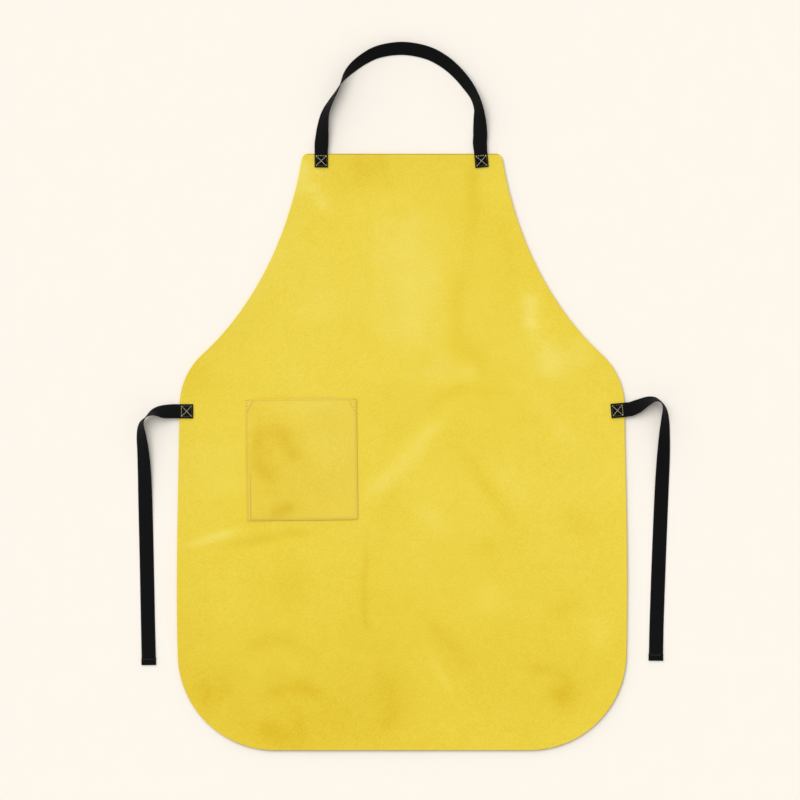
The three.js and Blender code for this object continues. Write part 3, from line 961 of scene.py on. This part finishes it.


# Lighter and darker streaks of the hide, partly its own uneven tone and partly painted shade and
# painted light along its folds:
# the points of each one's middle line and its reach to each side, in millimetres, and how much
# lighter or darker it is.
PANEL_TONE_AND_FOLD_SHADE = [
    ([(-150, 300), (-120, 150)], 60, 0.09),
    ([(-20, 330), (10, 200), (-34, 132)], 55, 0.16),
    ([(-128, 364), (-97, 320)], 11, 0.21),
    ([(-134, 396), (-142, 340)], 16, 0.2),
    ([(-75, 373), (-10, 384)], 26, -0.16),
    ([(97, 392), (91, 284)], 12, -0.14),
    ([(88, 262), (73, 190), (80, 150), (128, 98)], 13, -0.12),
    ([(120, 330), (150, 240)], 14, -0.05),
    ([(176, 213), (176, 159)], 12, 0.26),
    ([(176, 150), (212, 123), (254, 150)], 22, 0.21),
    ([(-275, 96)], 28, -0.11),
    ([(-257, 20), (-250, -70)], 40, 0.11),
    ([(-52, -64), (64, 52)], 12, 0.19),
    ([(-10, -76)], 26, -0.09),
    ([(30, 64), (73, 84), (136, 76)], 9, -0.11),
    ([(40, 96), (110, 108)], 14, 0.09),
    ([(80, 2), (110, -40), (154, -109)], 11, -0.11),
    ([(118, -127)], 17, -0.09),
    ([(130, -20), (180, -70)], 15, 0.07),
    ([(234, -60), (236, -120)], 22, -0.09),
    ([(-293, -125), (-213, -108)], 6, 0.24),
    ([(-232, -130), (-170, -118), (-97, -106)], 7, -0.14),
    ([(-49, -100), (-46, -225), (-40, -260)], 4, -0.14),
    ([(-177, -180), (-120, -170)], 30, -0.09),
    ([(216, -207)], 22, -0.11),
    ([(216, -328)], 19, -0.3),
    ([(160, -285), (205, -292), (240, -320)], 7, -0.11),
    ([(-280, -300), (-230, -345)], 34, -0.17),
    ([(-212, -372), (-120, -384)], 24, -0.17),
    ([(-185, -330), (-132, -318), (-100, -330)], 12, -0.14),
    ([(-215, -270), (-177, -250), (-135, -256)], 13, -0.12),
    ([(-146, -288)], 14, 0.07),
    ([(-16, -270), (-16, -385)], 22, -0.16),
    ([(37, -225), (91, -297)], 12, -0.11),
    ([(28, -260), (73, -341)], 6, 0.11),
    ([(118, -198)], 22, 0.09),
    ([(261, -220), (258, -270)], 24, 0.09),
    ([(120, -350)], 40, 0.03),
    ([(-250, -340), (0, -390)], 70, -0.09),
    ([(-158, 330), (-190, 230), (-240, 160)], 20, 0.08),
    ([(0, 98), (60, 118), (52, 135)], 9, 0.07),
    ([(165, 88), (240, 0)], 13, 0.08),
    ([(60, -100), (20, -70)], 12, 0.07),
    ([(-250, -150), (-230, -220)], 22, 0.05),
]
LOWER_HIDE_DARKER = 0.09
LOWER_HIDE_STARTS = -0.04
LOWER_HIDE_FADE = 0.3
POCKET_SHADES = [
    ([(-50, 45), (-30, 38), (-2, -6)], 13, -0.22),
    ([(-58, 60), (-56, -40)], 17, -0.24),
    ([(-40, 60), (-40, -60)], 26, -0.08),
    ([(-45, -72), (-6, -66)], 11, -0.28),
    ([(30, 40), (45, -20)], 32, 0.05),
    ([(-20, 70), (50, 70)], 9, 0.07),
]


SHADE_DRIFT = 8 * MM


def shade_at(x, y, shades):
    """How much lighter or darker the leather is, from its own tone and, on the hide, painted fold
    shade, with the shades' outlines made uneven.
    """
    drift_x, drift_y = noise_at(x, y, 0.045, 11.3), noise_at(x, y, 0.045, 17.9)
    x, y = x + SHADE_DRIFT * drift_x, y + SHADE_DRIFT * drift_y
    broken = 1 + 0.5 * noise_at(x, y, 0.03, 23.1)
    total = np.zeros(len(x))
    for points, reach, strength in shades:
        line = np.array(points, float) * MM
        if len(points) == 1:
            gap = np.hypot(x - line[0, 0], y - line[0, 1])
            fade = 1.0
        else:
            gap, where = line_distance(x, y, resampled(line, 6 * MM))
            fade = np.clip(1.5 * np.sin(np.pi * np.clip(where, 0.06, 0.94)), 0, 1)
        total += strength * fade * bell(gap / (reach * MM))
    return total * broken


def apron_panel():
    """The hide, as a grid whose rows run between the two sides of its outline."""
    half = right_edge[:, 0]
    rows = right_edge[:, 1]
    close = np.array([0, 0.9, 2.2, 4.5]) * MM
    inner = np.linspace(-1, 1, 132)
    inner_from_edge = 8 * MM
    x = np.array([
        np.concatenate([-h + close, inner * (h - inner_from_edge), (h - close)[::-1]])
        for h in half
    ])
    y = np.repeat(rows[:, None], x.shape[1], axis=1)
    piece, points = leather_sheet(
        "hide_panel", x, y, panel_top, LEATHER_THICKNESS, panel_leather
    )
    # The hide's tone numbers: its own uneven tone, painted shade and painted light along its folds,
    # and darker towards the bottom.
    tone = shade_at(points[:, 0], points[:, 1], PANEL_TONE_AND_FOLD_SHADE)
    below = (LOWER_HIDE_STARTS - points[:, 1]) / LOWER_HIDE_FADE
    tone -= LOWER_HIDE_DARKER * smoothstep(below)
    add_number(piece, "tone", tone)
    add_number(piece, "edge", np.exp(-edge_distance(points[:, 0], points[:, 1]) / (0.9 * MM)))
    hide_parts("apron_panel")
    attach(piece, "root")


STITCH_PITCH = 3.4 * MM
SIDE_SEAM_INSET = 2.6 * MM
BOTTOM_SEAM_INSET = 2.6 * MM
MOUTH_SEAM_INSET = 2.2 * MM
GROOVE_DEPTH = 0.28 * MM
SEAM_GROOVE_REACH = 1.2 * MM
MOUTH_GROOVE_REACH = 1.1 * MM
SIDE_BULGE_REACH = 60 * MM
BOTTOM_BULGE_REACH = 80 * MM
WORN_EDGE = 0.35 * MM
WRINKLE_DEPTH = 0.35 * MM
PRESSED_DEPTH = 0.3 * MM
PRESSED_REACH = 9 * MM
NEEDLE_PIT_SHADE_REACH = 0.8 * MM

# The pocket is drawn thinner than the hide, so that its pressed-down seams stay clear of the hide.
POCKET_THICKNESS = LEATHER_THICKNESS * 0.72
POCKET_CLEARANCE = 0.1 * MM


def pocket_local(x, y):
    """x and y as seen from the pocket's own middle and turn."""
    dx, dy = x - pocket_middle.x, y - pocket_middle.y
    c, s = math.cos(POCKET_TURN), math.sin(POCKET_TURN)
    return c * dx + s * dy, c * dy - s * dx


def from_pocket(x, y):
    """The frame's x and y of a place in the pocket's own coordinates."""
    c, s = math.cos(POCKET_TURN), math.sin(POCKET_TURN)
    return pocket_middle.x + c * x - s * y, pocket_middle.y + s * x + c * y


def pocket_top(x, y):
    """The height of the pocket's outer face: pressed down at its seams, bulging between them."""
    across, up = pocket_local(np.asarray(x, float), np.asarray(y, float))
    to_side = POCKET_WIDTH / 2 - np.abs(across)
    to_bottom = POCKET_DEPTH / 2 + up
    to_mouth = POCKET_DEPTH / 2 - up
    sides = smoothstep(to_side / SIDE_BULGE_REACH)
    bottom = smoothstep(to_bottom / BOTTOM_BULGE_REACH)
    bulge = POCKET_BULGE * sides * bottom
    side_seam = bell((to_side - SIDE_SEAM_INSET) / SEAM_GROOVE_REACH)
    bottom_seam = bell((to_bottom - BOTTOM_SEAM_INSET) / SEAM_GROOVE_REACH)
    hem = bell((to_mouth - MOUTH_SEAM_INSET) / MOUTH_GROOVE_REACH)
    rows = np.maximum(np.maximum(side_seam, bottom_seam), 0.7 * hem)
    dimples = 0.75 + 0.25 * np.cos(2 * np.pi * (across + up) / STITCH_PITCH)
    grooves = GROOVE_DEPTH * rows * dimples
    to_edge = np.maximum(np.minimum(np.minimum(to_side, to_bottom), to_mouth), 0)
    worn_edge = WORN_EDGE * np.exp(-to_edge / WORN_EDGE)
    wrinkles = WRINKLE_DEPTH * noise_at(across, up, 0.034, 9.2)
    wrinkles = wrinkles * smoothstep(to_side / PRESSED_REACH)
    pressed = PRESSED_DEPTH * np.exp(-to_edge / PRESSED_REACH)
    stack = panel_top(x, y) + POCKET_CLEARANCE + LEATHER_THICKNESS - pressed
    return stack + bulge + wrinkles - grooves - worn_edge


def rounded_corners(across, up):
    """Pulls the pocket's four corners in to a small radius."""
    radius = POCKET_CORNER
    u = np.clip((np.abs(across) - POCKET_WIDTH / 2 + radius) / radius, 0, 1)
    v = np.clip((np.abs(up) - POCKET_DEPTH / 2 + radius) / radius, 0, 1)
    across = across - np.sign(across) * radius * u * (1 - np.sqrt(1 - v**2 / 2))
    up = up - np.sign(up) * radius * v * (1 - np.sqrt(1 - u**2 / 2))
    return across, up


def pocket():
    """The patch pocket, as a grid that is finest along its edges, where its seams are."""

    def lines(length):
        # The first step is wider than the edge's rounding, so that the corners don't fold.
        fine = np.append(0, np.arange(1, 6.5, 0.5)) * MM
        middle = np.linspace(6.7 * MM, length - 6.7 * MM, 150)
        return np.concatenate([fine, middle, length - fine[::-1]]) - length / 2

    across, up = np.meshgrid(lines(POCKET_WIDTH), lines(POCKET_DEPTH)[::-1])
    across, up = rounded_corners(across, up)
    x, y = from_pocket(across, up)
    piece, points = leather_sheet(
        "patch_pocket", x, y, pocket_top, POCKET_THICKNESS, pocket_leather
    )
    px, py = pocket_local(points[:, 0], points[:, 1])
    to_edge = np.minimum(POCKET_WIDTH / 2 - np.abs(px), POCKET_DEPTH / 2 - np.abs(py))
    add_number(piece, "tone", shade_at(px, py, POCKET_SHADES))
    add_number(piece, "needle_pit_shade", needle_pit_shading(px, py))
    # Near its cut edge the pocket is painted orange-brown: partly raw-cut colour, partly painted
    # shade of its edge standing on the hide.
    add_number(piece, "edge", np.exp(-np.maximum(to_edge, 0) / (0.7 * MM)))
    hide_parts("pocket")
    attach(piece, "root")


SIDE_ROW = POCKET_WIDTH / 2 - SIDE_SEAM_INSET
BOTTOM_ROW = -POCKET_DEPTH / 2 + BOTTOM_SEAM_INSET
MOUTH_ROW = POCKET_DEPTH / 2 - MOUTH_SEAM_INSET
MOUTH_ROW_REACH = SIDE_ROW - 2.4 * MM

# The pocket's rows of stitches, in its own coordinates: the seam, then the tacks at the mouth's two
# ends with a short second row at the lower left, and last the hem of the mouth.
SEAM_ROWS = [
    [(-SIDE_ROW, MOUTH_ROW), (-SIDE_ROW, BOTTOM_ROW)],
    [(-SIDE_ROW, BOTTOM_ROW), (SIDE_ROW, BOTTOM_ROW)],
    [(SIDE_ROW, BOTTOM_ROW), (SIDE_ROW, MOUTH_ROW)],
]
TACK_ROWS = [
    [(SIDE_ROW - 8.5 * MM, MOUTH_ROW - 1 * MM), (SIDE_ROW - 1 * MM, MOUTH_ROW - 14 * MM)],
    [(-SIDE_ROW + 7.5 * MM, MOUTH_ROW - 2 * MM), (-SIDE_ROW + 1 * MM, MOUTH_ROW - 14 * MM)],
    [(-SIDE_ROW + 3.4 * MM, BOTTOM_ROW + 2 * MM), (-SIDE_ROW + 3.6 * MM, -20 * MM)],
]
MOUTH_ROWS = [[(-MOUTH_ROW_REACH, MOUTH_ROW), (MOUTH_ROW_REACH, MOUTH_ROW)]]


def needle_pit_shading(across, up):
    """How close each point is to a needle hole, from 0 to 1: where the material paints the pits'
    shade.
    """
    closest = np.full(len(across), np.inf)
    for start, end in SEAM_ROWS + TACK_ROWS + MOUTH_ROWS:
        stitches = max(1, int(round(math.dist(start, end) / STITCH_PITCH)))
        for x, y in np.linspace(start, end, stitches + 1):
            closest = np.minimum(closest, np.hypot(across - x, up - y))
    return bell(closest / NEEDLE_PIT_SHADE_REACH)


def pocket_line(points):
    """A line of the pocket's own coordinates, closely spaced so that it follows the bulge."""
    corners = np.array(points, float)
    place = along_line(corners)
    wanted = np.linspace(0, place[-1], max(2, int(place[-1] / (2 * MM))))
    across, up = (np.interp(wanted, place, corners[:, k]) for k in (0, 1))
    return np.stack(from_pocket(across, up), axis=1)


def pocket_thread(name, node_name, rows):
    """Rows of yellow thread on the pocket, with dark discs at the needle holes as painted shade for
    their pits.
    """
    thread = Thread()
    for row in rows:
        thread.row(
            pocket_line(row),
            pocket_top,
            STITCH_PITCH,
            radius=(0.22 if row in TACK_ROWS else 0.5) * MM,
            gap=1.5 * MM,
            proud=0.26 * MM,
            holes=True,
            back=None if row in MOUTH_ROWS else lie,
        )
    piece = thread.build(name, yellow_thread, needle_hole_shade)
    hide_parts(node_name)
    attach(piece, "root")


def tie_hem_thread(name, stops):
    """The row of stitches that holds a tie's folded end."""
    x, y, z, _ = stops[-1]
    half = STRAP_WIDTH / 2 - 1.25 * MM
    level = y + TIE_HEM_SEAM

    def hem_top(xs, ys):
        return np.full(len(xs), z + STITCH_LEVEL)

    thread = Thread()
    thread.row(
        [(x - half, level), (x + half, level)],
        hem_top,
        2.3 * MM,
        radius=0.34 * MM,
        gap=0.7 * MM,
        proud=0.14 * MM,
    )
    piece = thread.build(name + "_hem_stitches", black_thread)
    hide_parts(name + "_hem_thread")
    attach(piece, name)
    return piece


# ---- Floor and light ----

def floor():
    size = 6.0
    cells = 24
    row = cells + 1
    line = np.linspace(-size, size, row)
    x, y = np.meshgrid(line, line)
    points = np.stack([x.ravel(), y.ravel(), np.zeros(x.size)], axis=1)
    corners = [i * row + j for i in range(cells) for j in range(cells)]
    faces = [(a, a + 1, a + row + 1, a + row) for a in corners]
    add_piece("floor", points, faces, floor_material())


def softbox(name, toward, strength, width):
    """A soft light that shines from one way, and looks as wide as width in degrees."""
    light = bpy.data.lights.new(name, "SUN")
    light.energy = strength
    light.angle = math.radians(width)
    lamp = bpy.data.objects.new(name, light)
    lamp.rotation_euler = toward.to_track_quat("Z", "Y").to_euler()
    bpy.context.scene.collection.objects.link(lamp)


def lights():
    world = bpy.data.worlds.new("studio")
    world.use_nodes = True
    world.node_tree.nodes["Background"].inputs["Color"].default_value = (1, 1, 1, 1)
    world.node_tree.nodes["Background"].inputs["Strength"].default_value = 0.46
    bpy.context.scene.world = world
    softbox("overhead", Vector((-0.24, 0.3, 0.9)), strength=1.96, width=50)
    softbox("side", Vector((-0.5, 0.78, 0.42)), strength=1.0, width=60)


# ---- Assembly ----

neck_strap, neck_places = strap(
    "neck_webbing", neck_stops, seams["neck_strap_left"], seams["neck_strap_right"]
)
finish_strap(
    neck_strap,
    ["neck_strap", "neck_strap_left_sewn_end", "neck_strap_right_sewn_end"],
)
for tie, stops in tie_stops.items():
    hem = tie_hem_thread(tie, stops)
    webbing_piece, places = strap(tie + "_webbing", stops, seams[tie])
    finish_strap(
        webbing_piece,
        [tie, tie + "_sewn_end"],
    )

apron_panel()
pocket()
pocket_thread("pocket_seam_stitches", "pocket_seam_thread", SEAM_ROWS + TACK_ROWS)
pocket_thread("pocket_mouth_stitches", "pocket_mouth_hem_thread", MOUTH_ROWS)
for name in seams:
    box_stitch(name)
for name in ARROWS:
    arrow_stitch(name)
floor()
lights()
